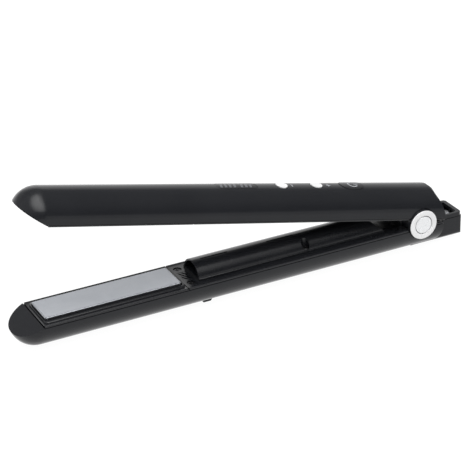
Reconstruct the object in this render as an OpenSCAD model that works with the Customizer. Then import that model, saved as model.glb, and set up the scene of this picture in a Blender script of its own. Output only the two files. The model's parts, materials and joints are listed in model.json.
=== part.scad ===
// Flat iron with two half-round arms, sprung open about a pin hinge.
//
// Each arm is drawn in its own arm frame and then placed:
//   x runs from the nose seam (x = 0) back to the cord end,
//   y runs across the arm,
//   z = 0 is the arm's rim, the arm itself lies below it and the other arm above it.
// lower_arm() drops the arm frame onto the ground frame; upper_arm() mirrors it across the
// hinge plane and swings it open. The ground frame has its origin under the middle of the
// length, with +X towards the cord end and +Z up.

/* [Arms] */
// Radius of both half-round arms
arm_r = 17; // [16.5:0.1:18]
// Wall thickness of the outer housings
wall = 1.8; // [1.5:0.1:2.2]
// Distance from the nose seam to the seam behind the heated plate
seam_x = 91.5; // [91:0.1:92]
// Distance from the nose seam to the back of the half-round housings
rear_x = 268.4; // [267:0.1:270]
// Length over which the back of the lower housing curves down
lower_rear_depth = 4; // [3:0.5:6]
// Length over which the back of the upper housing curves down
upper_rear_depth = 10; // [8:0.5:11]
// Radius of the rounding around the nose
nose_r = 15; // [14:0.1:16]
// Slope of the flat face cut across the nose, in degrees
nose_slope = 25; // [20:1:28]

/* [Hinge] */
// Distance from the nose seam to the hinge pin
hinge_x = 252.5; // [252:0.1:253]
// Height of the hinge pin above each arm's rim
hinge_z = 2.93; // [2.8:0.01:3.1]
// Angle between the arms when they stand open
open_angle = 13; // [0:0.5:13]
// Radius of the round caps on both ends of the hinge
cap_r = 9.65; // [9.5:0.05:9.7]
// How far the caps' faces stand from the middle of the iron
cap_face_y = 18.65; // [18.4:0.05:19]
// Radius of the steel hinge pin
pin_r = 2.5; // [2.4:0.05:2.6]

/* [Heated plates] */
// Length of a heated plate
plate_l = 86.3; // [85.5:0.1:86.5]
// Width of a heated plate
plate_w = 22.2; // [21.5:0.1:22.4]
// Height of a plate's face above its rim
plate_top = 2.85; // [2.5:0.05:2.85]

/* [Board cover on the lower arm] */
// Outside radius of the arched cover over the circuit board
hump_r = 10.7; // [10.5:0.1:10.8]
// Distance from the nose seam to the front of the cover
hump_x = 101.2; // [100.5:0.1:101.6]

/* [Controls] */
// Distance from the nose seam to the minus button
minus_x = 155.8; // [154:0.1:157]
// Distance from the nose seam to the plus button
plus_x = 180.2; // [178:0.1:181]
// Distance from the nose seam to the power button
power_x = 205.2; // [203:0.1:206]
// Radius of the plus and minus buttons
button_r = 3.75; // [3.4:0.05:4]
// How far the buttons press in
button_travel = 0.5; // [0.3:0.05:0.5]
// How far the lock slides
lock_travel = 4; // [3.5:0.1:4]

/* [Tail] */
// Distance from the nose seam to the end of the tail
tail_x = 286.9; // [285:0.1:288]
// Width of the tail
tail_w = 19.6; // [19:0.1:20.5]
// Radius of the hole for the cord
cord_r = 3; // [2.5:0.1:3.2]

/* [Hidden] */
$fn = 72;

inner_r = arm_r - wall;            // inside radius of a housing
nose_ring = arm_r - nose_r;         // distance from the axis to the centre of the nose's rounding
nose_face = nose_ring * sin(nose_slope)
    + sqrt(nose_r * nose_r - pow(nose_ring * cos(nose_slope), 2));  // length of the flat face
nose_tip = -nose_face * cos(nose_slope);
mid_x = (tail_x + nose_tip) / 2;   // middle of the whole length
knob_drop = 2.2;                   // how far the lock knob hangs below the belly
ground = arm_r + knob_drop;        // height of the rims above the ground
seam_gap = 0.7;                    // width of the seams between mouldings
rim_z = -0.7;                      // top edge of a housing's wall
flange_z = -0.35;                  // underside of the covers' flanges
floor_z = 0.3;                     // flat top of the covers
bead_z = 0.8;                      // top of the bead along the covers' edges
bead_r = 0.7;                      // rounding of the bead's outer edge
cover_w = 33.2;                    // width over the covers' flanges
skirt_w = 29.8;                    // width of the covers inside the housings
skirt_z = -1.9;                    // underside of the covers
fit = 0.05;                        // running clearance
other_rim = 2 * hinge_z;           // the other arm's rim, in this arm's frame when closed
plate_x = (seam_x - plate_l) / 2 + 0.5;
barrel_r = 9.3;                    // lower hinge barrels
knuckle_r = 9;                     // upper hinge knuckle
barrel_in = 7.2;                   // inner face of the barrels
barrel_out = 15;                   // outer face of the barrels
hump_z = -1.2;                     // axis of the arched cover
lower_back = [rear_x, lower_rear_depth, [0]];
upper_back = [rear_x + 1.6, upper_rear_depth, [-20, 0, 20]];
swivel_z = -7.8;                   // axis of the cord swivel
swivel_r = 4.6;
lid_end = tail_x - 0.7;            // back end of the tail's lid
tail_low = -15.7;                  // underside of the tail
tail_floor = tail_low + 1.7;       // floor inside the tail
screw_r = 1.1;
front_screw = [96.2, 9.4];         // lower cover's screws beside the vent
middle_screw = [174, 8];           // lower cover's screws in the board cover's hollows
upper_front_screw = [95.2, 10.4];  // upper cover's front screws
upper_back_screw = [234.8, 11.2];   // upper cover's back screws
flange_screw = [239.5, 4.6];       // screws of the knuckle's flange
pocket_floor = -1.6;                // seat of the screw heads in the covers' pockets
boss_top = -4.25;                  // top of the bosses under the screw pockets
strap_x = 280.25;                  // middle of the strap over the swivel
strap_screw_y = 6.9;
display_x = 124.6;                 // middle of the display window
display_l = 27.4;
display_w = 8.6;
catch_y = [11.1, 12.6];            // sides of the lock's catch and blade
catch_slot_y = [10.9, 12.9];       // sides of the slots that the catch passes through
ring_x = [271, 273.7];             // fronts of the two slip rings
ring_groove = 1.7;                // width of a slip ring's groove
board_z = -6.4;                    // underside of the main board
panel_z = -11.4;                   // crown side of the control board

// ---------- placing ----------
module lower_arm() {
    translate([-mid_x, 0, ground]) children();
}
module upper_arm() {
    translate([hinge_x - mid_x, 0, hinge_z + ground])
        rotate([0, open_angle, 0])
            mirror([0, 0, 1])
                translate([-hinge_x, 0, -hinge_z]) children();
}

// ---------- basic shapes ----------
module block(x, y, z) {
    translate([x[0], y[0], z[0]]) cube([x[1] - x[0], y[1] - y[0], z[1] - z[0]]);
}
module x_rod(r, x0, x1, y = 0, z = 0) {
    translate([x0, y, z]) rotate([0, 90, 0]) cylinder(r = r, h = x1 - x0);
}
module y_rod(r, y0, y1, x = hinge_x, z = hinge_z) {
    translate([x, y0, z]) rotate([-90, 0, 0]) cylinder(r = r, h = y1 - y0);
}
module z_rod(r, z0, z1, x = 0, y = 0) {
    translate([x, y, z0]) cylinder(r = r, h = z1 - z0);
}
// A side outline in x and z, stretched across from y0 to y1
module side_prism(outline, y0, y1) {
    translate([0, y1, 0]) rotate([90, 0, 0]) linear_extrude(y1 - y0) polygon(outline);
}
// A cross-section in y and z, stretched along from x0 to x1
module section_bar(x0, x1) {
    translate([x0, 0, 0]) rotate([90, 0, 90]) linear_extrude(x1 - x0) children();
}
module round_rect(w, h, r) {
    square([w - 2 * r, h], center = true);
    square([w, h - 2 * r], center = true);
    for (sx = [-1, 1], sy = [-1, 1])
        translate([sx * (w / 2 - r), sy * (h / 2 - r)]) circle(r = r);
}
module mirrored_y() {
    children();
    mirror([0, 1, 0]) children();
}

// ---------- arm form ----------
// Side outline of the bar: straight belly, back end curved down. The back is its end in x, the
// length of the curve and the turns about x at which the outline is cut
function bar_outline(inset, back) = concat(
    [[-arm_r - 1, arm_r + 1], [back[0] - inset, arm_r + 1]],
    [for (i = [0:18]) let (a = 5 * i)
        [back[0] - inset - back[1] * (1 - cos(a)), -(arm_r - inset) * sin(a)]],
    [[-arm_r - 1, -arm_r - 1]]);
module back_form(inset, back) {
    intersection_for(turn = back[2])
        rotate([turn, 0, 0])
            side_prism(bar_outline(inset, back), -2 * arm_r, 2 * arm_r);
}
// The arm's outside form moved in by inset: a round-nosed bar cut by the sloping flat face of
// the nose, by the rim and by the side outline
module arm_form(inset, back) {
    difference() {
        intersection() {
            round_nosed_bar(inset);
            back_form(inset, back);
        }
        intersection() {
            rotate([0, -nose_slope, 0])
                block([-2 * arm_r, arm_r], [-2 * arm_r, 2 * arm_r], [-inset, 2 * arm_r]);
            block([-2 * arm_r, 0], [-2 * arm_r, 2 * arm_r], [-arm_r, 2 * arm_r]);
        }
        block([0, back[0] + 1], [-2 * arm_r, 2 * arm_r], [inset > 0 ? 1 : 0, 2 * arm_r]);
    }
}
module round_nosed_bar(inset) {
    rotate([0, 90, 0]) rotate_extrude() {
        square([arm_r - inset, rear_x + 2]);
        intersection() {
            translate([nose_ring, 0]) circle(r = nose_r - inset);
            translate([0, -arm_r]) square([arm_r, arm_r + 1]);
        }
    }
}
module housing_shell(back) {
    difference() {
        arm_form(0, back);
        arm_form(wall, back);
        block([0, back[0] + 1], [-arm_r - 1, arm_r + 1], [rim_z, 2]);
    }
}
// Boss that takes a screw, standing on the inside of the crown
module screw_boss(at, top) {
    intersection() {
        z_rod(2.6, -arm_r, top, at[0], at[1]);
        x_rod(arm_r - wall / 2, at[0] - 4, at[0] + 4);
    }
}
module pilot_hole(at, top) {
    z_rod(screw_r + fit, -11, top + 1, at[0], at[1]);
}
// Cross rib on the inside of the crown, up to z = top
module crown_rib(x, top, half_width) {
    intersection() {
        block([x, x + 1.4], [-half_width, half_width], [-arm_r, top]);
        x_rod(arm_r - wall / 2, x - 1, x + 3);
    }
}

// ---------- covers and plate frames ----------
// Cross-section of a cover: skirt inside the housing, flange over its rim, bead at the edge
module cover_section() {
    half = cover_w / 2;
    skirt = skirt_w / 2;
    round_edge = [for (a = [0:18:90])
        [half - bead_r * (1 - cos(a)), bead_z - bead_r * (1 - sin(a))]];
    side = concat([[skirt, skirt_z], [skirt, flange_z], [half, flange_z]], round_edge,
                  [[half - 1.3, bead_z], [half - 2.2, floor_z]]);
    polygon(concat(side, [for (i = [len(side) - 1:-1:0]) [-side[i][0], side[i][1]]]));
}
module screw_pocket_wall(at) {
    z_rod(3.2, -4.2, floor_z, at[0], at[1]);
}
module screw_pocket(at) {
    z_rod(2.6, pocket_floor, bead_z, at[0], at[1]);
    z_rod(screw_r + 0.15, -5, 0, at[0], at[1]);
}
// Cross-head screw whose head sits on z = seat
module screw(at, seat, length = 7.5) {
    translate([at[0], at[1], seat]) {
        difference() {
            cylinder(r = 2.25, h = 1.4);
            translate([0, 0, 1]) cube([2.4, 0.5, 1], center = true);
            translate([0, 0, 1]) cube([0.5, 2.4, 1], center = true);
        }
        translate([0, 0, -length]) cylinder(r = screw_r, h = length + 0.2);
    }
}

module plate_frame() {
    difference() {
        union() {
            section_bar(seam_gap, seam_x - seam_gap / 2) cover_section();
            block([plate_x - 2, plate_x + plate_l + 1.8], [-12.8, 12.8], [-6.2, 0]);
        }
        // opening for the plate, deeper than the cross bars below it
        block([plate_x - 0.7, plate_x + plate_l + 0.7],
              [-plate_w / 2 - 0.5, plate_w / 2 + 0.5], [-9, 2]);
        // gap under both end walls for the leads
        block([-1, seam_x], [-plate_w / 2 - 0.5, plate_w / 2 + 0.5], [-9, -2.3]);
    }
    for (x = [12, 44, 76])
        block([x, x + 4], [-12, 12], [-6.2, -5]);
}
// Aluminium plate: a shallow upside-down channel with rounded edges
module heated_plate() {
    edge = 0.6;
    difference() {
        intersection() {
            section_bar(plate_x, plate_x + plate_l)
                translate([0, plate_top - 4]) round_rect(plate_w, 8, edge);
            translate([0, plate_w, 0]) rotate([90, 0, 0]) linear_extrude(2 * plate_w)
                translate([plate_x + plate_l / 2, plate_top - 4]) round_rect(plate_l, 8, edge);
            translate([plate_x + plate_l / 2, 0, -1.2])
                linear_extrude(plate_top + 1.2) round_rect(plate_l, plate_w, 1.6);
        }
        block([plate_x + 2, plate_x + plate_l - 2],
              [-plate_w / 2 + 1.5, plate_w / 2 - 1.5], [-2, plate_top - 1.5]);
    }
}
module plate_pads() {
    for (x = [12.4, 44.4, 76.4], y = [-9.6, 6.8])
        block([x, x + 3.2], [y, y + 2.8], [-4.98, -2.45]);
}
module heater() {
    block([12, 78], [-8, 8], [-1, plate_top - 1.55]);
}
module heater_clamp() {
    difference() {
        block([8, 84], [-9.4, 9.4], [-2.4, -1.25]);
        z_rod(1.15, -3, 0, 60, 0);
        for (x = [20, 34, 54]) block([x, x + 6], [-4, 4], [-3, -1.75]);
    }
}
module thermistor() {
    z_rod(1, -3.6, -1.1, 60, 0);
    x_rod(0.5, 60, 86, 0, -3.1);
}
module heater_leads(run_z, end_x) {
    mirrored_y() {
        z_rod(0.7, run_z, -3.1, 81.5, 4.6);
        translate([81.5, 4.6, run_z]) sphere(r = 0.7);
        x_rod(0.7, 81.5, end_x, 4.6, run_z);
    }
}

// ---------- lower arm ----------
module lower_housing() {
    color("#26272b") lower_arm() difference() {
        union() {
            housing_shell(lower_back);
            tail_box();
            mirrored_y() {
                screw_boss(front_screw, boss_top);
                screw_boss(middle_screw, skirt_z - 0.05);
            }
            for (x = [127, 148, 199, 212]) crown_rib(x, board_z, 11);
            // seat for the lower leg of the return spring
            crown_rib(237.4, -7.35, 3);
            crown_rib(240, -6.6, 3);
            swivel_cradle();
        }
        mirrored_y() {
            pilot_hole(front_screw, boss_top);
            pilot_hole(middle_screw, skirt_z - 0.05);
            // round pocket for the hinge cap
            y_rod(cap_r + 0.35, barrel_out + 0.2, arm_r + 1);
        }
        // slot for the neck of the lock
        block([106.6, 111.4 + lock_travel], [-1.9, 1.9], [-arm_r - 1, -10]);
        tail_hollow();
    }
}
// Box that carries the cord, rounded at its back corners and along its lower edges
module tail_box() {
    length = tail_x - 250;
    intersection() {
        translate([250 + length / 2, 0, tail_low])
            linear_extrude(-2.5 - tail_low) round_rect(length, tail_w, 2);
        section_bar(250, tail_x) translate([0, tail_low + 10]) round_rect(tail_w, 20, 3.2);
        // only the part behind the inside of the back wall
        difference() {
            block([250, tail_x], [-arm_r, arm_r], [-arm_r, 0]);
            arm_form(wall, lower_back);
        }
    }
}
module tail_hollow() {
    half = tail_w / 2 - 1.6;
    difference() {
        block([255, tail_x - 1.8], [-half, half], [tail_floor, 1]);
        swivel_cradle();
    }
    // hole that the swivel turns in
    x_rod(swivel_r + fit, tail_x - 3, tail_x + 1, 0, swivel_z);
    // notch in the back rim for the tail cover
    block([262.3, tail_x - 2], [-tail_w / 2 - 0.1, tail_w / 2 + 0.1], [-2.5, 1]);
}
module swivel_cradle() {
    difference() {
        block([278.5, 282], [-8.3, 8.3], [tail_floor - 0.3, -8.5]);
        x_rod(swivel_r + 0.15, 278, 283, 0, swivel_z);
        mirrored_y() z_rod(0.8, -12, -8, strap_x, strap_screw_y);
    }
}
module lower_plate_frame() {
    color("#1f2023") lower_arm() plate_frame();
}
module lower_plate() {
    color("#b9bec6") lower_arm() heated_plate();
}
module lower_plate_pads() {
    color("#c9552c") lower_arm() plate_pads();
}
module lower_heater() {
    color("#e8e2d4") lower_arm() heater();
}
module lower_heater_clamp() {
    color("#9aa0a6") lower_arm() heater_clamp();
}
module lower_thermistor() {
    color("#d8c48a") lower_arm() thermistor();
}
module lower_heater_leads() {
    color("#d9d9d2") lower_arm() heater_leads(-3.85, 125);
}
module thermal_fuse() {
    color("#c8ccd0") lower_arm() {
        x_rod(1.2, 26, 37, 3.4, -4.4);
        x_rod(0.4, 22, 40, 3.4, -4.4);
    }
}
module lower_cover() {
    color("#232428") lower_arm() difference() {
        union() {
            section_bar(seam_x + seam_gap / 2, rear_x - 0.2) cover_section();
            mirrored_y() {
                screw_pocket_wall(front_screw);
                hinge_barrel();
            }
        }
        mirrored_y() {
            screw_pocket(front_screw);
            z_rod(screw_r + 0.2, -3, 1, middle_screw[0], middle_screw[1]);
        }
        // window for the vent grille
        block([93.5, 99.3], [-5, 5], [-3, 2]);
        // room for the tall parts of the circuit board, narrower between the screws
        block([107, 169.5], [-7.6, 7.6], [-3, 2]);
        block([169, 179], [-4.2, 4.2], [-3, 2]);
        block([178.5, 214], [-7.6, 7.6], [-3, 2]);
        // slot for the lock's catch
        block([108.3, 115.6], catch_slot_y, [-3, 2]);
        // slot that the upper arm's knuckle turns in
        y_rod(knuckle_r + 0.7, -barrel_in, barrel_in);
        block([hinge_x - 9.6, hinge_x + 9.6], [-barrel_in, barrel_in], [-3, 2]);
        // room for the tail cover
        block([262.4, rear_x + 1], [-tail_w / 2 - 0.1, tail_w / 2 + 0.1], [-3, 2]);
        y_rod(pin_r + 0.02, -barrel_out - 1, barrel_out + 1);
        // round pocket for the hinge cap
        mirrored_y() y_rod(cap_r + 0.35, barrel_out + 0.2, arm_r + 1);
        // behind the barrels the skirt follows the housing's curved back wall
        difference() {
            block([255, rear_x + 1], [-arm_r, arm_r], [skirt_z - 1, flange_z]);
            block([255, rear_x - wall - 1.2], [-arm_r, arm_r], [skirt_z - 1, flange_z]);
        }
    }
}
// Barrel beside the knuckle, kept inside the round of the housing below the rim
module hinge_barrel() {
    intersection() {
        y_rod(barrel_r, barrel_in, barrel_out);
        union() {
            block([200, 300], [0, barrel_out], [-0.5, 20]);
            x_rod(inner_r - 0.1, 200, 300);
        }
    }
}
// Arched cover over the tall parts of the board, with a hollow front and a sloping back
module board_cover() {
    lip_z = floor_z + 1.2;
    slope = [[214, 20], [218.6, 10], [229, 1.2], [229, 0], [260, 0], [260, 20]];
    color("#1b1c1f") lower_arm() difference() {
        union() {
            difference() {
                intersection() {
                    union() {
                        difference() {
                            x_rod(hump_r, hump_x, 231, 0, hump_z);
                            x_rod(hump_r - 1.6, hump_x + 7, 216, 0, hump_z);
                        }
                        // tubes for the screws
                        intersection() {
                            x_rod(hump_r, hump_x, 231, 0, hump_z);
                            mirrored_y() z_rod(3.7, 0, 10, middle_screw[0], middle_screw[1]);
                        }
                    }
                    block([90, 240], [-hump_r, hump_r], [floor_z, hump_r]);
                }
                side_prism(slope, -20, 20);
            }
            // lip around the foot
            block([hump_x - 0.2, 229], [-10.9, 10.9], [floor_z, lip_z]);
            // low step between the slope and the hinge
            block([220, hinge_x - 10], [-6.6, 6.6], [floor_z, floor_z + 0.9]);
        }
        // half-moon hollow in the front
        intersection() {
            x_rod(hump_r - 1.1, hump_x - 1, hump_x + 5.5, 0, hump_z);
            block([90, 110], [-10, 10], [lip_z, 10]);
        }
        // space inside, open to the board below
        block([107, 169.5], [-7.2, 7.2], [0, lip_z + 0.1]);
        block([169, 179], [-4, 4], [0, lip_z + 0.1]);
        block([178.5, 214], [-7.2, 7.2], [0, lip_z + 0.1]);
        mirrored_y() {
            z_rod(2.6, 1.4, 10, middle_screw[0], middle_screw[1]);
            z_rod(screw_r + 0.2, 0, 2, middle_screw[0], middle_screw[1]);
        }
        // two fine grooves along the top
        for (x = [106.6, 151.4])
            block([x, x + 18.2], [-1.3, -0.3], [hump_r + hump_z - 0.85, 10]);
    }
}
module vent_grille() {
    color("#17181a") lower_arm() difference() {
        block([93.6, 99.2], [-4.9, 4.9], [-1.5, floor_z - 0.1]);
        intersection() {
            block([94.2, 98.6], [-4.4, 4.4], [-2, 1]);
            for (row = [-2:2])
                translate([96.4, 0, -2]) rotate([0, 0, -62])
                    translate([-6, 2.2 * row - 0.6, 0]) cube([12, 1.2, 4]);
        }
    }
}
module ion_generator() {
    color("#3d4046") lower_arm() {
        block([93.4, 104], [-3.4, 3.4], [-9.5, -3]);
        z_rod(0.4, -3.2, -1.7, 96.4, 0);
    }
}
module main_board() {
    color("#2f6b3c") lower_arm() difference() {
        block([122, 214], [-12, 12], [board_z, board_z + 1.6]);
        mirrored_y() z_rod(3.3, board_z - 1, board_z + 3, middle_screw[0], middle_screw[1]);
    }
}
module board_components() {
    top = board_z + 1.6;
    color("#a8432a") lower_arm() {
        block([131, 147], [-5.4, 5.4], [top, 4.4]);          // relay
        x_rod(4.4, 150.5, 167, 0, top + 4.4);                // capacitor
        block([182, 196], [-5.4, 5.4], [top, 4.4]);          // choke
        x_rod(2.6, 199, 211, 0, top + 2.6);                  // fuse
        block([125.1, 128.5], [-6.2, -3.2], [top, 3]); // lead clamps
        block([125.1, 128.5], [3.2, 6.2], [top, 3]);
    }
}
module lower_screws() {
    color("#8d9196") lower_arm() mirrored_y() {
        screw(front_screw, pocket_floor);
        screw(middle_screw, 1.4, 9);
    }
}
module supply_leads() {
    color("#c7c7c0") lower_arm() mirrored_y() {
        x_rod(0.9, 214.6, 268, 4.4, -9.2);
        z_rod(0.9, -9.2, -6.4, 268, 4.4);
        translate([268, 4.4, -9.2]) sphere(r = 0.9);
    }
}
// Lid of the tail, with a window over the swivel
module tail_cover() {
    length = lid_end - 262.5;
    color("#2a2b2f") lower_arm() difference() {
        translate([262.5 + length / 2, 0, -2.2])
            linear_extrude(2.6) union() {
                round_rect(length, tail_w, 2.2);
                translate([-length / 4, 0]) square([length / 2, tail_w], center = true);
            }
        translate([(266 + lid_end - 2.8) / 2, 0, -3])
            linear_extrude(5) round_rect(lid_end - 2.8 - 266, tail_w - 4, 1.5);
        y_rod(knuckle_r + 0.7, -barrel_in, barrel_in);
        y_rod(barrel_r + 0.3, -tail_w, tail_w);
    }
}
module cord_swivel() {
    color("#202124") lower_arm() difference() {
        union() {
            x_rod(swivel_r, 270, tail_x - 0.3, 0, swivel_z);
            x_rod(5, 276.4, 278.2, 0, swivel_z);
            x_rod(5, 282.3, 284.1, 0, swivel_z);
        }
        x_rod(cord_r, 269, tail_x + 1, 0, swivel_z);
        for (x = ring_x)
            difference() {
                x_rod(swivel_r + 1, x, x + ring_groove, 0, swivel_z);
                x_rod(swivel_r - 0.5, x, x + ring_groove, 0, swivel_z);
            }
    }
}
module slip_rings() {
    color("#d8d9da") lower_arm()
        for (x = ring_x)
            difference() {
                x_rod(swivel_r + 0.3, x + 0.05, x + ring_groove - 0.05, 0, swivel_z);
                x_rod(swivel_r - 0.5, x - 1, x + 3, 0, swivel_z);
            }
}
// Two spring blades that rub on the slip rings from below
module contact_brushes() {
    color("#c9a25a") lower_arm()
        for (x = ring_x)
            block([x + 0.2, x + ring_groove - 0.2], [-6, 6],
                  [tail_floor + 0.05, swivel_z - swivel_r - 0.32]);
}
module swivel_strap() {
    color("#d2d4d6") lower_arm() difference() {
        union() {
            intersection() {
                x_rod(5.7, 278.6, 281.9, 0, swivel_z);
                block([270, 290], [-8, 8], [swivel_z - 0.65, 0]);
            }
            block([278.6, 281.9], [-8, 8], [swivel_z - 0.65, swivel_z + 0.25]);
        }
        x_rod(swivel_r + 0.1, 270, 290, 0, swivel_z);
        mirrored_y() z_rod(0.8, -9, -5, strap_x, strap_screw_y);
    }
}
module strap_screws() {
    color("#e3e4e5") lower_arm() mirrored_y() {
        z_rod(1.05, swivel_z + 0.25, swivel_z + 1.2, strap_x, strap_screw_y);
        z_rod(0.75, -11.6, swivel_z + 0.4, strap_x, strap_screw_y);
    }
}
// Knob under the belly, neck through the slot, carriage inside, blade that holds the catch
module lock_slider() {
    knob = [[105.2, -14], [105.2, -16.8], [106.9, -ground], [111.1, -ground],
            [112.8, -16.8], [112.8, -14]];
    color("#26272b") lower_arm() {
        difference() {
            intersection() {
                side_prism(knob, -4, 4);
                section_bar(104, 114) translate([0, 5 - ground]) round_rect(8, 10, 1);
            }
            x_rod(arm_r + 0.2, 100, 120);
            for (x = [107, 108.6, 110.2])
                block([x, x + 0.8], [-2.8, 2.8], [-ground - 1, -ground + 0.45]);
        }
        block([107, 111], [-1.6, 1.6], [-arm_r - 0.6, -12.6]);
        block([104.6, 113.4], [-6, 6], [-13.7, -12.4]);
        block([104.6, 108.2], [4.5, 6], [-12.6, -6.4]);
        block([102.6, 108.2], [4.5, catch_y[1]], [-8, -6.4]);
        block([102.6, 104.6], catch_y, [-8, -2.1]);
        block([102.6, 108.2], catch_y, [-3.1, -2.1]);
    }
}
module lock_detent_spring() {
    color("#b5b9bd") lower_arm() {
        block([103.2, 119], [-8, -6.4], [-12.9, -12.6]);
        block([103.2, 103.6], [-8, -6.4], [-12.9, -9.4]);
        z_rod(0.5, -12.8, -11.8, 115, -7.2);
    }
}

// ---------- hinge ----------
module hinge_pin() {
    color("#c4c8cc") lower_arm() y_rod(pin_r, -16.9, 16.9);
}
// Cap: a rounded disc with a shallow round seat in its face
module hinge_cap() {
    depth = cap_face_y - barrel_out - 0.25;
    lower_arm() translate([hinge_x, barrel_out + 0.25, hinge_z]) rotate([-90, 0, 0])
        rotate_extrude() difference() {
            union() {
                square([cap_r, depth - 0.7]);
                square([cap_r - 0.7, depth]);
                translate([cap_r - 0.7, depth - 0.7]) circle(r = 0.7, $fn = 32);
            }
            translate([-1, depth - 0.9]) square([7.05, 2]);
            translate([-1, -1]) square([1 + pin_r + 0.02, 1 + 16.9 - barrel_out]);
        }
}
module cap_disc() {
    depth = cap_face_y - barrel_out - 0.25;
    lower_arm() translate([hinge_x, barrel_out + 0.25, hinge_z]) rotate([-90, 0, 0])
        rotate_extrude() translate([0, depth - 0.9])
            polygon([[0, 0], [5.7, 0], [5.7, 0.55], [5.45, 0.75], [3.2, 0.62], [0, 0.5]]);
}
module left_hinge_cap() {
    color("#f2f2f2") mirror([0, 1, 0]) hinge_cap();
}
module right_hinge_cap() {
    color("#f2f2f2") hinge_cap();
}
module left_cap_disc() {
    color("#dfe1e3") mirror([0, 1, 0]) cap_disc();
}
module right_cap_disc() {
    color("#dfe1e3") cap_disc();
}
// Leg of the return spring, tangent to the coil and running forward under a cover
module spring_leg(y) {
    drop = 20;
    coil_r = 4;
    translate([hinge_x + coil_r * sin(drop), y, hinge_z - coil_r * cos(drop)])
        rotate([0, -90 - drop, 0]) cylinder(r = 0.65, h = 16);
}
module return_spring() {
    color("#aab0b6") {
        lower_arm() {
            translate([hinge_x, 0, hinge_z]) rotate([-90, 0, 0])
                for (turn = [-1.5:1:1.5])
                    translate([0, 0, 1.3 * turn])
                        rotate_extrude() translate([4, 0]) circle(r = 0.68, $fn = 24);
            spring_leg(-1.95);
        }
        upper_arm() spring_leg(1.95);
    }
}

// ---------- upper arm ----------
module upper_housing() {
    color("#26272b") upper_arm() difference() {
        union() {
            housing_shell(upper_back);
            mirrored_y() {
                screw_boss(upper_front_screw, boss_top);
                screw_boss(upper_back_screw, boss_top);
            }
            for (x = [106, 146, 190, 214]) crown_rib(x, panel_z, 9);
        }
        mirrored_y() {
            pilot_hole(upper_front_screw, boss_top);
            pilot_hole(upper_back_screw, boss_top);
        }
        // the hinge barrels and caps turn in here
        y_rod(cap_r + 0.35, -arm_r - 1, arm_r + 1);
        crown_hole(minus_x) circle(r = button_r + 0.25);
        crown_hole(plus_x) circle(r = button_r + 0.25);
        crown_hole(power_x) power_outline(0.25);
        crown_hole(display_x) round_rect(display_l + 0.2, display_w + 0.2, 3.1);
    }
}
module crown_hole(x) {
    translate([x, 0, -20]) linear_extrude(8) children();
}
module power_outline(grow) {
    half = 2.2;
    radius = 5.8 + grow;
    for (side = [-1, 1]) translate([side * half, 0]) circle(r = radius);
    square([2 * half, 2 * radius], center = true);
}
module upper_plate_frame() {
    color("#1f2023") upper_arm() plate_frame();
}
module upper_plate() {
    color("#b9bec6") upper_arm() heated_plate();
}
module upper_plate_pads() {
    color("#c9552c") upper_arm() plate_pads();
}
module upper_heater() {
    color("#e8e2d4") upper_arm() heater();
}
module upper_heater_clamp() {
    color("#9aa0a6") upper_arm() heater_clamp();
}
module upper_thermistor() {
    color("#d8c48a") upper_arm() thermistor();
}
module upper_heater_leads() {
    color("#d9d9d2") upper_arm() heater_leads(-7.4, 112);
}
// Inner cover with a trough that closes over the lower arm's board cover
module upper_cover() {
    trough_r = hump_r + 0.7;
    color("#1f2023") upper_arm() difference() {
        union() {
            intersection() {
                section_bar(seam_x + seam_gap / 2, upper_back[0]) cover_section();
                back_form(0.2, upper_back);
            }
            intersection() {
                x_rod(trough_r + 1.2, 97.8, 232.7, 0, other_rim - hump_z);
                block([90, 240], [-arm_r, arm_r], [-8, 0]);
            }
            mirrored_y() {
                screw_pocket_wall(upper_front_screw);
                screw_pocket_wall(upper_back_screw);
                barrel_guard();
            }
        }
        x_rod(trough_r, 98.8, 231.5, 0, other_rim - hump_z);
        mirrored_y() {
            screw_pocket(upper_front_screw);
            screw_pocket(upper_back_screw);
            z_rod(screw_r - 0.2, -3, 1, flange_screw[0], flange_screw[1]);
        }
        // the hinge barrels and caps turn in here
        y_rod(cap_r + 0.35, -arm_r - 1, arm_r + 1);
        // seat for the lock's catch
        block([111.5, 115.4], catch_slot_y, [-3, 2]);
        // behind the hinge the skirt stays inside the housing's curved back wall
        block([rear_x - wall - 1, rear_x + 2], [-arm_r, arm_r], [skirt_z - 1, flange_z]);
    }
}
// Arch over a hinge barrel, which joins the cover's front to its back
module barrel_guard() {
    intersection() {
        y_rod(cap_r + 1.6, barrel_in - 0.1, 13);
        block([200, 300], [0, 13], [-arm_r, -0.4]);
        x_rod(inner_r - 0.1, 200, 300);
    }
}
// Two lugs round the pin, joined behind the cover, with a flange that is screwed to it
module hinge_knuckle() {
    half = barrel_in - 0.3;
    color("#3a3c40") upper_arm() difference() {
        union() {
            y_rod(knuckle_r, -half, half);
            block([hinge_x - 7.5, hinge_x + 7.5], [-half, half], [-7.2, hinge_z]);
            block([235.6, hinge_x - 6], [-half, half], [-4.4, skirt_z - 0.02]);
        }
        y_rod(pin_r + fit, -half - 1, half + 1);
        // room for the return spring
        block([hinge_x - 12, hinge_x + 5.4], [-3.2, 3.2], [-5.9, 14]);
        mirrored_y() z_rod(screw_r + 0.1, -5, -1, flange_screw[0], flange_screw[1]);
    }
}
module knuckle_screws() {
    color("#8d9196") upper_arm() mirrored_y() {
        z_rod(1.7, -5.6, -4.4, flange_screw[0], flange_screw[1]);
        z_rod(screw_r - 0.25, -4.6, -0.4, flange_screw[0], flange_screw[1]);
    }
}
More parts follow.
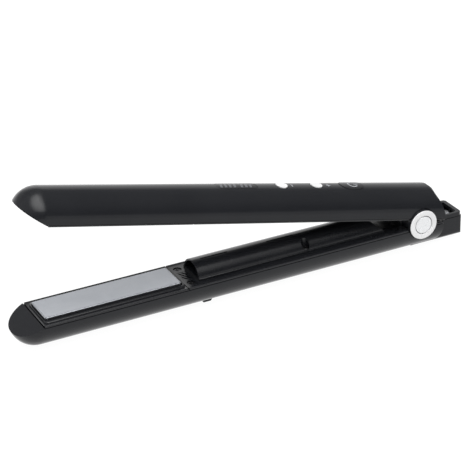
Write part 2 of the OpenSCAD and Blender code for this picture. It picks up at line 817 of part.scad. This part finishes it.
// Hook that hangs down into the lower arm, where the lock's blade slides over its toe
module lock_catch() {
    reach = other_rim + 4.6;
    color("#b5b9bd") upper_arm() {
        block([112.5, 114.5], catch_y, [-3.2, reach]);
        block([110, 116.4], catch_y, [-3.4, -2]);
        block([109.2, 114.5], catch_y, [reach - 1.3, reach]);
    }
}
module upper_screws() {
    color("#8d9196") upper_arm() mirrored_y() {
        screw(upper_front_screw, pocket_floor);
        screw(upper_back_screw, pocket_floor);
    }
}
module control_board() {
    color("#2f6b3c") upper_arm() block([104, 218], [-9, 9], [panel_z, panel_z + 1.4]);
}
module button_switches() {
    color("#55585e") upper_arm()
        for (x = [minus_x, plus_x, power_x])
            block([x - 2.5, x + 2.5], [-2.5, 2.5], [panel_z - 1.5, panel_z]);
}
module display_module() {
    color("#4a4d52") upper_arm() block([111.4, 137.8], [-4.1, 4.1], [-14.1, panel_z - 0.02]);
}
module display_window() {
    color("#34363b") upper_arm() intersection() {
        x_rod(arm_r - 0.12, 100, 150);
        translate([display_x, 0, -20]) linear_extrude(5.75) round_rect(display_l, display_w, 3);
    }
}
// Button whose face follows the crown, with a retaining flange inside the housing
module button_body(x, proud) {
    upper_arm() {
        intersection() {
            x_rod(arm_r + proud, x - 12, x + 12);
            translate([x, 0, -20]) linear_extrude(6.4) children();
        }
        z_rod(1.6, -13.7, panel_z - 1.5 - button_travel - fit, x, 0);
    }
}
module round_button(x) {
    button_body(x, 0.35) circle(r = button_r);
    upper_arm() z_rod(button_r + 0.9, -14.2, -13.45, x, 0);
}
module minus_button() {
    color("#eceded") round_button(minus_x);
}
module plus_button() {
    color("#eceded") round_button(plus_x);
}
module power_button() {
    color("#1d1e21") {
        button_body(power_x, 0.3) power_outline(0);
        upper_arm() translate([power_x, 0, -13.78]) linear_extrude(0.32) power_outline(0.5);
    }
}

lower_housing();
lower_plate_frame();
lower_plate();
lower_plate_pads();
lower_heater();
lower_heater_clamp();
lower_thermistor();
lower_heater_leads();
thermal_fuse();
lower_cover();
board_cover();
vent_grille();
ion_generator();
main_board();
board_components();
lower_screws();
supply_leads();
tail_cover();
cord_swivel();
slip_rings();
contact_brushes();
swivel_strap();
strap_screws();
lock_slider();
lock_detent_spring();
hinge_pin();
left_hinge_cap();
right_hinge_cap();
left_cap_disc();
right_cap_disc();
return_spring();
upper_housing();
upper_plate_frame();
upper_plate();
upper_plate_pads();
upper_heater();
upper_heater_clamp();
upper_thermistor();
upper_heater_leads();
upper_cover();
hinge_knuckle();
knuckle_screws();
lock_catch();
upper_screws();
control_board();
button_switches();
display_module();
display_window();
minus_button();
plus_button();
power_button();
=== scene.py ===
import bpy, bmesh, json, math
from mathutils import Matrix, Vector


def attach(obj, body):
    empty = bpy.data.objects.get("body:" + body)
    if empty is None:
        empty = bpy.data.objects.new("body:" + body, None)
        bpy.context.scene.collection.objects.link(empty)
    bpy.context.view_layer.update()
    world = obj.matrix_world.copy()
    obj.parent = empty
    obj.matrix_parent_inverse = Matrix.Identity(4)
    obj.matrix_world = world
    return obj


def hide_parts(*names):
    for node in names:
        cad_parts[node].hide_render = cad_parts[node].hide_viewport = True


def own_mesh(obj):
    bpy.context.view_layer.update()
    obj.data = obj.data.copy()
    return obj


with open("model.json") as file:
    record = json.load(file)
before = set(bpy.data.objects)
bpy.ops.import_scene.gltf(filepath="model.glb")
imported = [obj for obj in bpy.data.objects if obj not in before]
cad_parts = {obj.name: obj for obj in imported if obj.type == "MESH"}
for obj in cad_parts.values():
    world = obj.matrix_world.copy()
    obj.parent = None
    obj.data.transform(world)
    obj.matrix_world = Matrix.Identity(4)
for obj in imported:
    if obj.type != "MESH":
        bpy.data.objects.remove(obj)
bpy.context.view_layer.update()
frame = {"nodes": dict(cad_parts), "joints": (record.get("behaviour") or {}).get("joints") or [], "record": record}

NODES = frame["nodes"]
BODY_OF = {n: b for b, ns in frame["record"]["behaviour"]["bodies"].items() for n in ns}
SLOT_OF = {s["node"]: s["material_slot"] for s in frame["record"]["subparts"]}

# ---------- placing: arm frame in millimetres to row frame in metres ----------
# In the arm frame x runs from the nose to the tail, and z is up from the axis of the shell's round.
# The upper arm is the same frame mirrored in z and turned open about the hinge pin.
HINGE = Vector(next(j for j in frame["joints"] if j["name"] == "arm_hinge")["pos_m"])
HINGE_X, HINGE_Z = 252.5, 2.93      # the pin in the arm frame
OPEN = math.radians(13)             # between the arms at rest
MM = 0.001
TO_PIN = Matrix.Translation((-HINGE_X, 0, -HINGE_Z))
AT_PIN = Matrix.Translation(HINGE) @ Matrix.Diagonal((MM, MM, MM, 1))
LOWER = AT_PIN @ TO_PIN
UPPER = (Matrix.Translation(HINGE) @ Matrix.Rotation(OPEN, 4, "Y")
         @ Matrix.Diagonal((MM, MM, -MM, 1)) @ TO_PIN)


# ---------- node helpers ----------
class Nodes:
    """Adds nodes to a node tree. Each call gives back the output socket."""

    def __init__(self, tree, coordinate):
        self.tree = tree
        self.coord = self.new("ShaderNodeTexCoord")
        self.where = self.coord.outputs[coordinate]

    def new(self, kind):
        return self.tree.nodes.new(kind)

    def feed(self, socket, value):
        if isinstance(value, bpy.types.NodeSocket):
            self.tree.links.new(value, socket)
        else:
            socket.default_value = value

    def noise(self, scale, detail=3.0, rough=0.55, vector=None, distortion=0.0):
        n = self.new("ShaderNodeTexNoise")
        n.inputs["Scale"].default_value = scale
        n.inputs["Detail"].default_value = detail
        n.inputs["Roughness"].default_value = rough
        n.inputs["Distortion"].default_value = distortion
        self.feed(n.inputs["Vector"], vector or self.where)
        return n.outputs["Fac"]

    def stretched(self, scale):
        n = self.new("ShaderNodeMapping")
        n.inputs["Scale"].default_value = scale
        self.feed(n.inputs["Vector"], self.where)
        return n.outputs["Vector"]

    def span(self, value, low, high, start=0.0, end=1.0, ease="LINEAR"):
        """low at start, high at end, and held outside."""
        n = self.new("ShaderNodeMapRange")
        n.interpolation_type = ease
        n.inputs["From Min"].default_value = start
        n.inputs["From Max"].default_value = end
        n.inputs["To Min"].default_value = low
        n.inputs["To Max"].default_value = high
        self.feed(n.inputs["Value"], value)
        return n.outputs["Result"]

    def mix(self, fac, a, b):
        """Colour a where fac is 0 and b where it is 1."""
        n = self.new("ShaderNodeMix")
        n.data_type = "RGBA"
        self.feed(n.inputs[0], fac)
        for socket, colour in ((n.inputs[6], a), (n.inputs[7], b)):
            self.feed(socket, (*colour, 1) if isinstance(colour, tuple) else colour)
        return n.outputs[2]

    def math(self, op, a, b=0.0):
        n = self.new("ShaderNodeMath")
        n.operation = op
        self.feed(n.inputs[0], a)
        self.feed(n.inputs[1], b)
        return n.outputs[0]

    def vector(self, op, a, b=None, output="Vector"):
        n = self.new("ShaderNodeVectorMath")
        n.operation = op
        self.feed(n.inputs[0], a)
        if b is not None:
            self.feed(n.inputs[1], b)
        return n.outputs[output]

    def split(self, vector):
        n = self.new("ShaderNodeSeparateXYZ")
        self.feed(n.inputs[0], vector)
        return n.outputs

    def bump(self, height, strength, distance, normal=None):
        n = self.new("ShaderNodeBump")
        n.inputs["Strength"].default_value = strength
        n.inputs["Distance"].default_value = distance
        self.feed(n.inputs["Height"], height)
        if normal is not None:
            self.feed(n.inputs["Normal"], normal)
        return n.outputs["Normal"]


class Material(Nodes):
    def __init__(self, name):
        self.mat = bpy.data.materials.new(name)
        self.mat.use_nodes = True
        super().__init__(self.mat.node_tree, "Object")

    def set(self, **sockets):
        shader = self.tree.nodes["Principled BSDF"]
        for key, value in sockets.items():
            if isinstance(value, tuple):
                value = (*value, 1)
            self.feed(shader.inputs[key.replace("_", " ")], value)
        return self.mat


# ---------- materials ----------
def edge_highlight_and_wear(t):
    """0 on flats, towards 1 on convex edges: the mask of a painted edge highlight, and of edge wear."""
    bevel = t.new("ShaderNodeBevel")
    bevel.samples = 4
    bevel.inputs["Radius"].default_value = 0.0006
    flat = t.new("ShaderNodeNewGeometry").outputs["Normal"]
    same = t.vector("DOT_PRODUCT", bevel.outputs["Normal"], flat, output="Value")
    return t.span(same, 1.0, 0.0, 0.72, 0.93)


def plastic(name, dark, light, rough=(0.28, 0.36), grain=0.035, grain_scale=9000.0, wear_and_highlight=None,
            specular=0.5):
    """Moulded plastic: slow colour drift, handled patches in the gloss, a fine spark-eroded grain."""
    t = Material(name)
    drift = t.noise(28.0, 4.0, 0.6)
    col = t.mix(t.span(drift, 0.0, 1.0, 0.3, 0.7), dark, light)
    fine = t.noise(2600.0, 2.0, 0.6)
    col = t.mix(t.span(fine, 0.0, 0.15, 0.45, 0.75), col, tuple(min(1, c * 1.25) for c in light))
    # lighter convex edges: a painted edge highlight, broken up in patches like rubbed wear
    if wear_and_highlight:
        rubbed_and_highlight = t.span(t.noise(160.0, 5.0, 0.7), 0.0, 0.55, 0.48, 0.72)
        col = t.mix(t.math("MULTIPLY", edge_highlight_and_wear(t), rubbed_and_highlight), col, wear_and_highlight)
    smudge = t.noise(38.0, 5.0, 0.62, distortion=0.6)
    rou = t.span(smudge, rough[0], rough[1], 0.32, 0.68)
    rou = t.math("ADD", rou, t.span(t.noise(1400.0, 2.0), -0.02, 0.02))
    normal = t.bump(t.noise(grain_scale, 2.0, 0.5), grain, 0.00005)
    normal = t.bump(t.noise(420.0, 2.0, 0.5), 0.05, 0.00003, normal)
    return t.set(Base_Color=col, Roughness=rou, Normal=normal, Specular_IOR_Level=specular)


def metal(name, dark, light, rough=(0.22, 0.34), stretch=(6, 900, 900)):
    """Drawn or brushed metal, with the lines along the direction of the smallest stretch."""
    t = Material(name)
    line = t.noise(1.0, 4.0, 0.6, vector=t.stretched(stretch))
    blot = t.noise(60.0, 4.0, 0.6)
    col = t.mix(t.span(line, 0.0, 1.0, 0.3, 0.7), dark, light)
    col = t.mix(t.span(blot, 0.0, 0.35, 0.45, 0.8), col, dark)
    rou = t.math("ADD", t.span(line, rough[0], rough[1], 0.3, 0.7), t.span(blot, -0.03, 0.03))
    return t.set(Base_Color=col, Roughness=rou, Normal=t.bump(line, 0.04, 0.00004), Metallic=1.0)


def ceramic_plate(name):
    """Sprayed ceramic coat over ground aluminium: satin, very fine speckle and faint grinding lines."""
    t = Material(name)
    speck = t.noise(5200.0, 2.0, 0.6)
    lines = t.noise(1.0, 3.0, 0.6, vector=t.stretched((9, 1500, 1500)))
    cloud = t.noise(45.0, 4.0, 0.6, distortion=0.4)
    col = t.mix(t.span(cloud, 0.0, 1.0, 0.3, 0.7), (0.37, 0.388, 0.42), (0.45, 0.468, 0.5))
    col = t.mix(t.span(speck, 0.0, 0.25, 0.5, 0.8), col, (0.56, 0.575, 0.6))
    rou = t.math("ADD", t.span(cloud, 0.3, 0.38, 0.3, 0.7), t.span(lines, -0.03, 0.04))
    # the sides below the rounded edge are painted dark: painted shade on the faces that turn away from upright
    level = t.math("ABSOLUTE", t.split(t.coord.outputs["Normal"])["Z"])
    col = t.mix(t.span(level, 0.0, 1.0, 0.28, 0.45), (0.035, 0.036, 0.04), col)
    normal = t.bump(speck, 0.05, 0.00004)
    normal = t.bump(lines, 0.04, 0.00003, normal)
    return t.set(Base_Color=col, Roughness=rou, Normal=normal, Metallic=0.55)


def spun_disc(name, centre):
    """Disc turned on a lathe: fine rings about the hinge axis, with the gloss changing by the ring."""
    t = Material(name)
    shift = t.new("ShaderNodeMapping")
    shift.inputs["Location"].default_value = (-centre.x, 0, -centre.z)
    t.feed(shift.inputs["Vector"], t.where)
    flat = t.vector("MULTIPLY", shift.outputs["Vector"], (1, 0, 1))
    ring = t.new("ShaderNodeTexNoise")
    ring.noise_dimensions = "1D"
    ring.inputs["Scale"].default_value = 9000.0
    ring.inputs["Detail"].default_value = 3.0
    t.feed(ring.inputs["W"], t.vector("LENGTH", flat, output="Value"))
    fac = ring.outputs["Fac"]
    col = t.mix(t.span(fac, 0.0, 1.0, 0.3, 0.7), (0.62, 0.63, 0.645), (0.86, 0.865, 0.87))
    return t.set(Base_Color=col, Roughness=t.span(fac, 0.2, 0.36, 0.3, 0.7),
                 Normal=t.bump(fac, 0.2, 0.00004), Metallic=0.75)


MAT = {
    "shell_black": plastic("satin_black_shell", (0.0125, 0.0132, 0.0152), (0.015, 0.0157, 0.018),
                           rough=(0.12, 0.17), grain=0.02, wear_and_highlight=(0.03, 0.031, 0.034), specular=0.22),
    "cover_black": plastic("satin_black_cover", (0.009, 0.0096, 0.0114), (0.0115, 0.0122, 0.0144),
                           rough=(0.2, 0.27), wear_and_highlight=(0.026, 0.027, 0.03), specular=0.4),
    "knuckle_grey": plastic("nylon_grey", (0.1, 0.102, 0.108), (0.14, 0.143, 0.15),
                            rough=(0.35, 0.46), grain=0.08, grain_scale=5000.0),
    "plate_ceramic": ceramic_plate("ceramic_plate"),
    "cap_white": plastic("pearl_white", (0.66, 0.66, 0.665), (0.74, 0.74, 0.745),
                         rough=(0.26, 0.34)),
    "spun_metal": spun_disc("spun_disc", HINGE),
    "power_black": plastic("gloss_black", (0.012, 0.0124, 0.014), (0.015, 0.0155, 0.0175),
                           rough=(0.14, 0.2), grain=0.01, specular=0.2),
    "display_smoke": plastic("smoked_window", (0.009, 0.0094, 0.011), (0.012, 0.0125, 0.0145),
                             rough=(0.12, 0.17), grain=0.008, specular=0.12),
    "silicone": plastic("silicone_orange", (0.5, 0.08, 0.02), (0.62, 0.11, 0.03),
                        rough=(0.5, 0.62)),
    "ptc_ceramic": plastic("unglazed_ceramic", (0.68, 0.64, 0.55), (0.78, 0.74, 0.66),
                           rough=(0.6, 0.72), grain=0.2, grain_scale=3500.0),
    "spring_steel": metal("zinc_steel", (0.36, 0.37, 0.39), (0.52, 0.53, 0.55),
                          stretch=(700, 700, 60)),
    "pin_steel": metal("ground_steel", (0.42, 0.43, 0.45), (0.6, 0.61, 0.63),
                       stretch=(900, 20, 900)),
    "screw_black": metal("black_zinc", (0.05, 0.05, 0.053), (0.09, 0.09, 0.095),
                         rough=(0.3, 0.42), stretch=(500, 500, 500)),
    "slip_metal": metal("nickel", (0.62, 0.62, 0.63), (0.8, 0.8, 0.81),
                        rough=(0.12, 0.22), stretch=(1200, 30, 30)),
    "brass_contact": metal("brass", (0.5, 0.33, 0.12), (0.68, 0.48, 0.2), stretch=(300, 30, 300)),
    "lead_sleeve": plastic("glass_sleeve", (0.5, 0.5, 0.46), (0.62, 0.62, 0.58),
                           rough=(0.55, 0.7), grain=0.3, grain_scale=2500.0),
    "sensor_bead": plastic("glass_bead", (0.45, 0.32, 0.13), (0.6, 0.44, 0.2), rough=(0.12, 0.2)),
    "board_green": plastic("solder_mask", (0.012, 0.07, 0.02), (0.02, 0.1, 0.032),
                           rough=(0.25, 0.35)),
    "component_case": plastic("component_case", (0.28, 0.05, 0.02), (0.36, 0.07, 0.03),
                              rough=(0.35, 0.5)),
    "module_grey": plastic("potting_grey", (0.012, 0.0125, 0.014), (0.02, 0.021, 0.023),
                           rough=(0.4, 0.55)),
}
PRINT = plastic("printed_marks", (0.3, 0.31, 0.33), (0.38, 0.39, 0.41), rough=(0.4, 0.5),
                specular=0.2)
SEGMENT = plastic("display_segments", (0.07, 0.073, 0.082), (0.1, 0.104, 0.115),
                  rough=(0.14, 0.2), specular=0.15)


# ---------- mesh helpers ----------
def add(name, bm, body, mat, matrix=None, smooth=None, slot=None, replaces=()):
    """Make a piece of a bmesh. smooth is the sharpest angle in degrees that still shades smooth."""
    if matrix is not None:
        bmesh.ops.transform(bm, matrix=matrix, verts=bm.verts)
        if matrix.determinant() < 0:
            bmesh.ops.reverse_faces(bm, faces=bm.faces)
    mesh = bpy.data.meshes.new(name)
    bm.to_mesh(mesh)
    bm.free()
    piece = bpy.data.objects.new(name, mesh)
    bpy.context.scene.collection.objects.link(piece)
    mesh.materials.append(mat)
    for p in mesh.polygons:
        p.use_smooth = True
    if smooth is not None:
        mesh.set_sharp_from_angle(angle=math.radians(smooth))
    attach(piece, body)
    if replaces:
        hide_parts(*replaces)
    return piece


def skin(node, width=0.00025):
    """A copy of a CAD node with its edges rounded over."""
    bm = bmesh.new()
    bm.from_mesh(NODES[node].data)
    bmesh.ops.remove_doubles(bm, verts=bm.verts, dist=2e-6)
    bmesh.ops.dissolve_limit(bm, angle_limit=math.radians(0.5), verts=bm.verts, edges=bm.edges)
    slot = SLOT_OF[node]
    piece = add(node + "_skin", bm, BODY_OF[node], MAT[slot], slot=slot, replaces=(node,))
    bevel = piece.modifiers.new("round", "BEVEL")
    bevel.width = width
    bevel.segments = 2
    bevel.limit_method = "ANGLE"
    bevel.angle_limit = math.radians(32.0)
    bevel.harden_normals = False
    bevel.use_clamp_overlap = True
    piece.modifiers.new("normals", "WEIGHTED_NORMAL").keep_sharp = True
    return piece


def circle(steps):
    """Cosine and sine of evenly spaced angles, once round."""
    return [(math.cos(a), math.sin(a)) for a in (2 * math.pi * k / steps for k in range(steps))]


def sweep(rings, loop=False):
    """Skin over rings of points: a tube with end faces, or a loop whose last ring joins the first."""
    bm = bmesh.new()
    rows = [[bm.verts.new(p) for p in points] for points in rings]
    for a, b in zip(rows, rows[1:] + rows[:1] if loop else rows[1:]):
        for k in range(len(a)):
            n = (k + 1) % len(a)
            bm.faces.new((a[k], a[n], b[n], b[k]))
    if not loop:
        bm.faces.new(rows[0])
        bm.faces.new(rows[-1])
    bmesh.ops.recalc_face_normals(bm, faces=bm.faces)
    return bm


# ---------- hinge caps ----------
def lathe(name, profile, side, slot, replaced):
    """Profile of (radius, distance from the middle plane) in millimetres, turned about the hinge."""
    around = circle(96)
    bm = bmesh.new()
    rings = []
    for rad, dist in profile:
        if rad == 0:
            rings.append([bm.verts.new((0, side * dist, 0))])
        else:
            rings.append([bm.verts.new((rad * c, side * dist, rad * s)) for c, s in around])
    for a, b in zip(rings, rings[1:]):
        for k in range(len(around)):
            n = (k + 1) % len(around)
            if len(a) == 1:
                bm.faces.new((a[0], b[k], b[n]))
            elif len(b) == 1:
                bm.faces.new((a[k], b[0], a[n]))
            else:
                bm.faces.new((a[k], b[k], b[n], a[n]))
    bmesh.ops.recalc_face_normals(bm, faces=bm.faces)
    return add(name, bm, "lower_arm", MAT[slot], AT_PIN, 40.0, slot, (replaced,))


def arc(cx, cy, rad, start, end, steps=5):
    """Points of a profile along an arc, with angles in degrees."""
    angles = [math.radians(start + (end - start) * k / steps) for k in range(steps + 1)]
    return [(cx + rad * math.cos(a), cy + rad * math.sin(a)) for a in angles]


def hinge_cap(side, word):
    """Black wall, white ring face and turned disc. base and face are from the middle plane."""
    base, face, rad = 15.25, 18.65, 9.65
    bore, inner = 2.6, 6.05             # radii of the hole for the pin and of the white face's hole
    cap, disc = word + "_hinge_cap", word + "_cap_disc"
    wall = ([(bore, base), (rad - 0.25, base)] + arc(rad - 0.2, base + 0.2, 0.2, -90, 0)
            + arc(rad - 0.35, face - 0.75, 0.35, 0, 80)
            + [(rad - 0.7, face - 0.46), (bore, face - 1.2), (bore, base)])
    lathe(word + "_cap_wall", wall, side, "shell_black", cap)
    white = ([(inner, face - 1.0)] + arc(6.25, face - 0.22, 0.2, 180, 90) + [(7.6, face - 0.01)]
             + arc(rad - 0.62, face - 0.45, 0.45, 90, 0)
             + [(rad - 0.3, face - 0.8), (inner, face - 1.0)])
    lathe(word + "_cap_face", white, side, "cap_white", cap)
    spun = ([(0, face - 0.42), (1.2, face - 0.4), (3.0, face - 0.3), (4.6, face - 0.2)]
            + arc(5.45, face - 0.35, 0.2, 90, 0) + [(5.65, face - 0.95), (0, face - 0.95)])
    lathe(word + "_cap_spun", spun, side, "spun_metal", disc)


# ---------- marks that follow the crown of the upper arm ----------
def crown_patch(name, where, across, along, rad, mat, body="upper_arm"):
    """where(s, t) gives x and y in the arm frame; the patch lies on a round of radius rad."""
    thick = 0.06
    bm = bmesh.new()
    grid = {}
    for top in (0, 1):
        for i in range(across + 1):
            for j in range(along + 1):
                x, y = where(i / across, j / along)
                r = rad if top else rad - thick
                grid[top, i, j] = bm.verts.new((x, y, -math.sqrt(r * r - y * y)))
    square = ((0, 0), (1, 0), (1, 1), (0, 1))
    for i in range(across):
        for j in range(along):
            for top in (0, 1):
                bm.faces.new([grid[top, i + a, j + b] for a, b in square])
    for i in range(across):
        for j in (0, along):
            bm.faces.new([grid[top, i + a, j] for top, a in square])
    for j in range(along):
        for i in (0, across):
            bm.faces.new([grid[top, i, j + b] for top, b in square])
    bmesh.ops.recalc_face_normals(bm, faces=bm.faces)
    return add(name, bm, body, mat, UPPER, 40.0)


def bar_across(name, x, y, length, width, rad, mat, lean=0.0):
    """Bar across the arm, length long in y, leaning by lean in x."""
    def where(s, t):
        return x + (s - 0.5) * width + lean * (t - 0.5), y + (t - 0.5) * length
    return crown_patch(name, where, 1, 8, rad, mat)


def controls():
    """Segments of the display, and the signs for minus, plus and power."""
    glass, shell, key = 16.91, 17.03, 17.33     # radii of the surfaces that carry the marks
    # four digits and then three signs on the display
    for k in range(7):
        gap = 1.8 if k > 3 else 0.0
        bar_across("segment_%d" % k, 114.6 + 3.0 * k + gap, 0.3, 5.2, 1.6, glass, SEGMENT, lean=1.6)
    bar_across("minus_bar", 162.6, -0.6, 2.8, 0.7, shell, PRINT)

    plus_x, plus_y, plus_length, plus_width = 188.2, -0.8, 3.0, 0.7
    bar_across("plus_bar_1", plus_x, plus_y, plus_length, plus_width, shell, PRINT)
    crown_patch("plus_bar_2", lambda s, t: (plus_x + (s - 0.5) * plus_length,
                                            plus_y + (t - 0.5) * plus_width), 6, 1, shell, PRINT)

    power_x, power_y, power_rad, power_width = 206.0, -0.2, 3.0, 0.75

    def on_ring(s, t):
        angle = math.radians(40 + 280 * s)      # open towards the tail
        r = power_rad + (t - 0.5) * power_width
        return power_x + r * math.cos(angle), power_y + r * math.sin(angle)
    crown_patch("power_ring", on_ring, 28, 1, key, PRINT, body="power_key")
    crown_patch("power_bar", lambda s, t: (power_x + 1.0 + power_rad * s,
                                           power_y + (t - 0.5) * power_width),
                4, 1, key, PRINT, body="power_key")


# ---------- collars round the plates and beads at the board cover's foot ----------
def plate_collar(word, place):
    """Raised border of the frame round a heated plate: rings of a rounded outline, stacked."""
    x0, x1, half = 2.9, 90.2, 11.35     # ends and half width of the opening, just clear of the plate
    # how far out from the opening, and how high
    section = [(0.0, -0.6), (0.0, 1.1), (0.15, 1.25), (1.9, 1.25), (2.2, 1.1), (2.6, 0.2), (2.6, -0.2)]
    rings = []
    for grow, z in section:
        end_grow = min(grow, 0.75)      # the ends are narrower than the sides
        corner = 1.7 + min(grow, 0.7)
        outline = []
        for sx, sy, start in ((1, 1, 0), (-1, 1, 90), (-1, -1, 180), (1, -1, 270)):
            cx = (x1 + end_grow - corner) if sx > 0 else (x0 - end_grow + corner)
            cy = sy * (half + grow - corner)
            for k in range(7):
                a = math.radians(start + 15 * k)
                outline.append((cx + corner * math.cos(a), cy + corner * math.sin(a), z))
        rings.append(outline)
    slot = "cover_black"
    return add(word + "_plate_collar", sweep(rings, loop=True), word + "_arm", MAT[slot], place,
               40.0, slot)


def foot_bead(name, side):
    """Thin bead along the foot of the board cover, tapered at both ends."""
    rad, y, z = 0.36, side * 10.66, 1.45
    taper = ((101.05, 0.2), (101.2, 0.75), (101.5, 1.0), (228.0, 1.0), (228.6, 0.7), (228.8, 0.2))
    rings = [[(x, y + rad * size * c, z + rad * size * s) for c, s in circle(12)]
             for x, size in taper]
    slot = "cover_black"
    return add(name, sweep(rings), "lower_arm", MAT[slot], LOWER, 60.0, slot)


# ---------- return spring, whose upper leg moves with the upper arm, and silicone pads ---
def wire(name, points, rad, body):
    """Round wire along points in millimetres from the hinge pin, with closed ends."""
    across = Vector((0, 1, 0))
    rings = []
    for k, p in enumerate(points):
        along = (points[min(k + 1, len(points) - 1)] - points[max(k - 1, 0)]).normalized()
        u = (across - along * across.dot(along)).normalized()
        v = along.cross(u)
        rings.append([p + rad * (u * c + v * s) for c, s in circle(14)])
    slot = "spring_steel"
    return add(name, sweep(rings), body, MAT[slot], AT_PIN, 60.0, slot, ("return_spring",))


def return_spring():
    """A coil with its lower leg, and an upper leg that slides along the coil's last stretch."""
    coil_r, wire_r, leg, half_width = 4.0, 0.62, 16.0, 1.95
    slope = 20.0                        # of the legs, in degrees
    # angles at which the two legs leave the coil, two turns and a part apart
    start = slope - 90.0
    end = 720.0 + 90.0 - slope - math.degrees(OPEN)

    def coil(angle):
        y = half_width * (2 * (angle - start) / (end - start) - 1)
        a = math.radians(angle)
        return Vector((coil_r * math.cos(a), y, coil_r * math.sin(a)))

    def leg_from(angle, way):
        a = math.radians(angle)
        tangent = Vector((-math.sin(a), 0, math.cos(a)))
        return [coil(angle) + tangent * way * leg * k / 4 for k in range(1, 5)]

    # the coil stops short of the end, and the upper leg starts before that, inside its last stretch
    coil_end, leg_start, turn_steps, leg_steps = end - 25, end - 60, 110, 12
    turns = [coil(start + (coil_end - start) * k / turn_steps) for k in range(turn_steps + 1)]
    last_stretch = [coil(leg_start + (end - leg_start) * k / leg_steps)
                    for k in range(leg_steps + 1)]
    wire("spring_coil", leg_from(start, -1)[::-1] + turns, wire_r, "lower_arm")
    wire("spring_upper_leg", last_stretch + leg_from(end, 1), wire_r, "upper_arm")


def pads(word):
    """Silicone pads that the plate flattens towards the frame's cross ribs; here a copy of the CAD node with its
    edges rounded, on a mesh of its own.
    """
    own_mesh(skin(word + "_plate_pads", 0.0003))


# ---------- floor, light and camera ----------
def stage():
    half = 30.0
    mesh = bpy.data.meshes.new("floor")
    mesh.from_pydata([(-half, -half, 0), (half, -half, 0), (half, half, 0), (-half, half, 0)],
                     [], [(0, 1, 2, 3)])
    floor = bpy.data.objects.new("floor", mesh)
    bpy.context.scene.collection.objects.link(floor)
    mesh.materials.append(Material("pale_floor").set(
        Base_Color=(0.1, 0.1, 0.1), Roughness=0.9, Specular_IOR_Level=0.0,
        Emission_Color=(1.0, 1.0, 1.0), Emission_Strength=0.97))


def sky():
    """Soft studio tent: a wall low all round, a wall behind, a soft ceiling and a round soft box."""
    world = bpy.data.worlds.new("studio")
    bpy.context.scene.world = world
    world.use_nodes = True
    w = Nodes(world.node_tree, "Generated")
    x, y, z = w.split(w.where)

    def ramp(value, start, end, low, high, ease="SMOOTHSTEP"):
        return w.span(value, low, high, start, end, ease)

    def towards(direction):
        return w.vector("DOT_PRODUCT", w.where, direction, output="Value")

    def product(first, *rest):
        for factor in rest:
            first = w.math("MULTIPLY", first, factor)
        return first

    ceiling = product(ramp(towards((0.0, 0.5, 0.866)), -0.12, 0.5, 0.0, 0.64),
                      ramp(x, 0.26, 0.55, 1.0, 0.4, "LINEAR"),
                      ramp(y, 0.35, 0.75, 1.0, 0.4))
    behind = product(ramp(y, 0.15, 0.85, 0.0, 0.95),
                     ramp(z, 0.42, 0.66, 1.0, 0.08),
                     ramp(x, -0.15, 0.3, 0.25, 1.15),
                     ramp(x, 0.35, 0.6, 1.0, 0.75))
    low_wall = ramp(z, 0.17, 0.2, 0.8, 0.0)
    # the round soft box overhead ends before the arms' long sides mirror it
    soft_box = product(ramp(towards((0.1, -0.3, 0.949)), 0.7, 0.99, 0.0, 5.5),
                       ramp(x, 0.08, 0.42, 1.0, 0.0))
    light = w.math("MAXIMUM", w.math("ADD", ceiling, behind), low_wall)
    background = world.node_tree.nodes["Background"]
    background.inputs["Color"].default_value = (1, 1, 1, 1)
    w.feed(background.inputs["Strength"], w.math("ADD", light, soft_box))


def camera():
    """The photograph's view, with a long lens."""
    az, el, roll = math.radians(-26.58), math.radians(26.83), math.radians(-1.56)
    back = Vector((math.sin(az) * math.cos(el), -math.cos(az) * math.cos(el), math.sin(el)))
    level = (-back).cross(Vector((0, 0, 1))).normalized()
    upright = level.cross(-back)
    right = level * math.cos(roll) + upright * math.sin(roll)
    up = -level * math.sin(roll) + upright * math.cos(roll)
    cam = bpy.data.cameras.new("view")
    cam.lens = 139.8
    cam.sensor_width = 36.0
    cam.clip_start, cam.clip_end = 0.05, 100.0
    view = bpy.data.objects.new("view", cam)
    bpy.context.scene.collection.objects.link(view)
    # from the hinge pin, so that it keeps its place to the iron
    eye = HINGE + Vector((-0.55706, -0.87007, 0.50788))
    view.matrix_world = Matrix.Translation(eye) @ Matrix((right, up, back)).transposed().to_4x4()
    bpy.context.scene.camera = view
    bpy.context.scene.view_settings.view_transform = "Standard"


# ---------- the iron ----------
for name, node in NODES.items():
    node.data.materials.clear()
    node.data.materials.append(MAT[SLOT_OF[name]])

for name in ("lower_housing", "upper_housing", "lower_plate_frame", "upper_plate_frame",
             "lower_cover", "upper_cover", "board_cover", "tail_cover",
             "hinge_knuckle", "lower_plate", "upper_plate", "swivel_strap",
             "lower_screws", "upper_screws", "cord_swivel", "lock_catch", "minus_button",
             "plus_button", "power_button", "display_window"):
    skin(name)
hinge_cap(-1, "left")
hinge_cap(1, "right")
return_spring()
pads("lower")
pads("upper")
plate_collar("lower", LOWER)
plate_collar("upper", UPPER)
foot_bead("near_foot_bead", -1)
foot_bead("far_foot_bead", 1)
controls()
stage()
sky()
camera()
